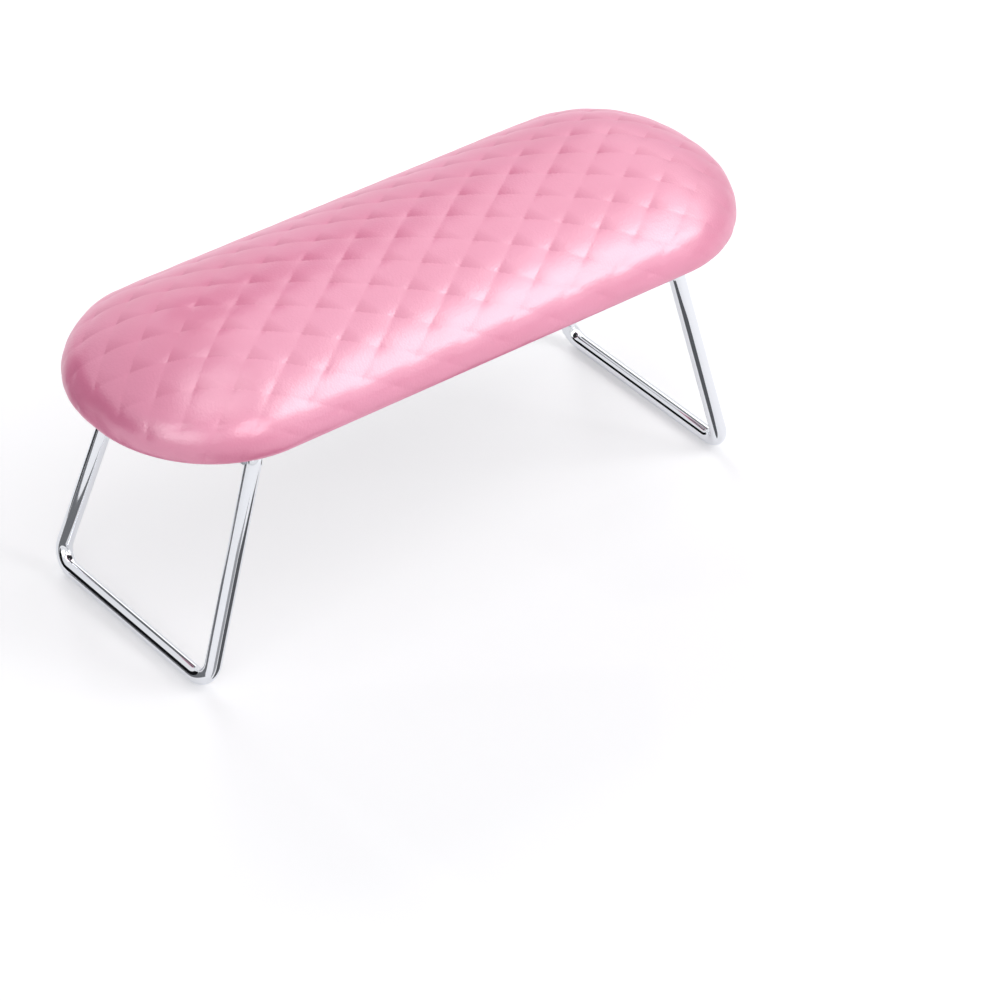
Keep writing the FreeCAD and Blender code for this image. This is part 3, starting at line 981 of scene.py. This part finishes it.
card_lift = 0.0005
tall_turn = math.radians(143)
tall_distance = 1.2
tall_width = 2.0
tall_height = 0.62
tall_middle = Vector((math.cos(tall_turn), math.sin(tall_turn), 0)) * tall_distance
tall_side = Vector((-math.sin(tall_turn), math.cos(tall_turn), 0)) * tall_width / 2
tall_top = Vector((0, 0, tall_height))
card(
    "tall_card",
    (
        tall_middle - tall_side,
        tall_middle + tall_side,
        tall_middle + tall_side + tall_top,
        tall_middle - tall_side + tall_top,
    ),
    (22, 22, 24),
)
card(
    "front_left_card",
    (
        (-0.154, -0.062, card_lift),
        (-0.140, -0.265, card_lift),
        (-0.030, -0.230, card_lift),
        (0.020, -0.160, card_lift),
    ),
    (96, 97, 100),
)
card(
    "front_right_card",
    (
        (0.146, -0.060, card_lift),
        (0.098, -0.145, card_lift),
        (0.040, -0.120, card_lift),
        (0.030, -0.050, card_lift),
    ),
    (96, 97, 100),
)
card(
    "corner_card",
    (
        (-0.158, -0.064, card_lift),
        (-0.420, -0.420, card_lift),
        (-0.164, -0.420, card_lift),
    ),
    (170, 171, 174),
)
card(
    "back_card",
    (
        (-0.172, -0.057, card_lift),
        (-0.172, 0.057, card_lift),
        (-0.572, 0.357, card_lift),
        (-0.572, 0.243, card_lift),
    ),
    (120, 121, 124),
)
card(
    "end_floor_card",
    (
        (-0.230, 0.110, card_lift),
        (-0.150, 0.900, card_lift),
        (-0.900, 0.900, card_lift),
        (-0.600, 0.390, card_lift),
    ),
    (60, 61, 64),
)


# Bright cards. White ones round the front and right draw the sheen on the cushion, and a
# narrow bright one draws the band on its front shoulder. A grey one dims the far side.
def facing_card(name, azimuth, height, distance, width, depth, shade, glow):
    """A card that looks at the cushion, from its place, size, shade and glow."""
    toward = direction(azimuth, height)
    turn = math.radians(azimuth)
    side = Vector((-math.sin(turn), math.cos(turn), 0)) * width / 2
    up = toward.cross(side).normalized() * depth / 2
    middle = cushion_middle + toward * distance
    corners = (middle - side - up, middle + side - up, middle + side + up, middle - side + up)
    card(name, corners, shade, glow)


card_white = (255, 255, 255)
card_grey = (110, 111, 114)
# Each row gives the same as a panel's, then the shade and the glow.
facing_card("right_card", 20, 42, 2.2, 2.2, 1.8, card_white, 1.60)
facing_card("front_card", -20, 42, 1.6, 0.75, 0.78, card_white, 2.60)
facing_card("near_card", -135, 62, 2.2, 1.3, 1.0, card_white, 1.6)
facing_card("end_card", -95, 34, 1.8, 0.8, 0.6, card_white, 4.5)
facing_card("low_card", -58, 8, 1.5, 0.9, 0.35, card_white, 1.8)
facing_card("band_card", -47, 36, 1.5, 0.75, 0.26, card_white, 5.2)
facing_card("grey_card", 62, 40, 1.5, 0.55, 0.5, card_grey, 1.0)


# Camera. A long lens from the left at the front, looking down at the stand, tilted a
# little, and aimed below and right of it so that the stand is in the upper left.
camera_azimuth = math.radians(-41.9)
camera_height = math.radians(37.13)
camera_roll = math.radians(3.63)
camera_distance = 2.337
camera_lens = 182.4
sensor_width = 36.0
aim_centre = Vector((0, 0, 0.080))
aim_right = 0.0444
aim_up = -0.0602
back = Vector(
    (
        math.sin(camera_azimuth) * math.cos(camera_height),
        -math.cos(camera_azimuth) * math.cos(camera_height),
        math.sin(camera_height),
    )
)
level = Vector((math.cos(camera_azimuth), math.sin(camera_azimuth), 0))
upright = back.cross(level)
right = level * math.cos(camera_roll) + upright * math.sin(camera_roll)
up = upright * math.cos(camera_roll) - level * math.sin(camera_roll)
lens = bpy.data.cameras.new("camera")
lens.lens = camera_lens
lens.sensor_width = sensor_width
camera = bpy.data.objects.new("camera", lens)
aim = aim_centre + right * aim_right + up * aim_up
spot = aim + back * camera_distance
camera.matrix_world = Matrix(
    (
        (right.x, up.x, back.x, spot.x),
        (right.y, up.y, back.y, spot.y),
        (right.z, up.z, back.z, spot.z),
        (0, 0, 0, 1),
    )
)
bpy.context.scene.collection.objects.link(camera)
bpy.context.scene.camera = camera
bpy.context.scene.view_settings.view_transform = "Standard"
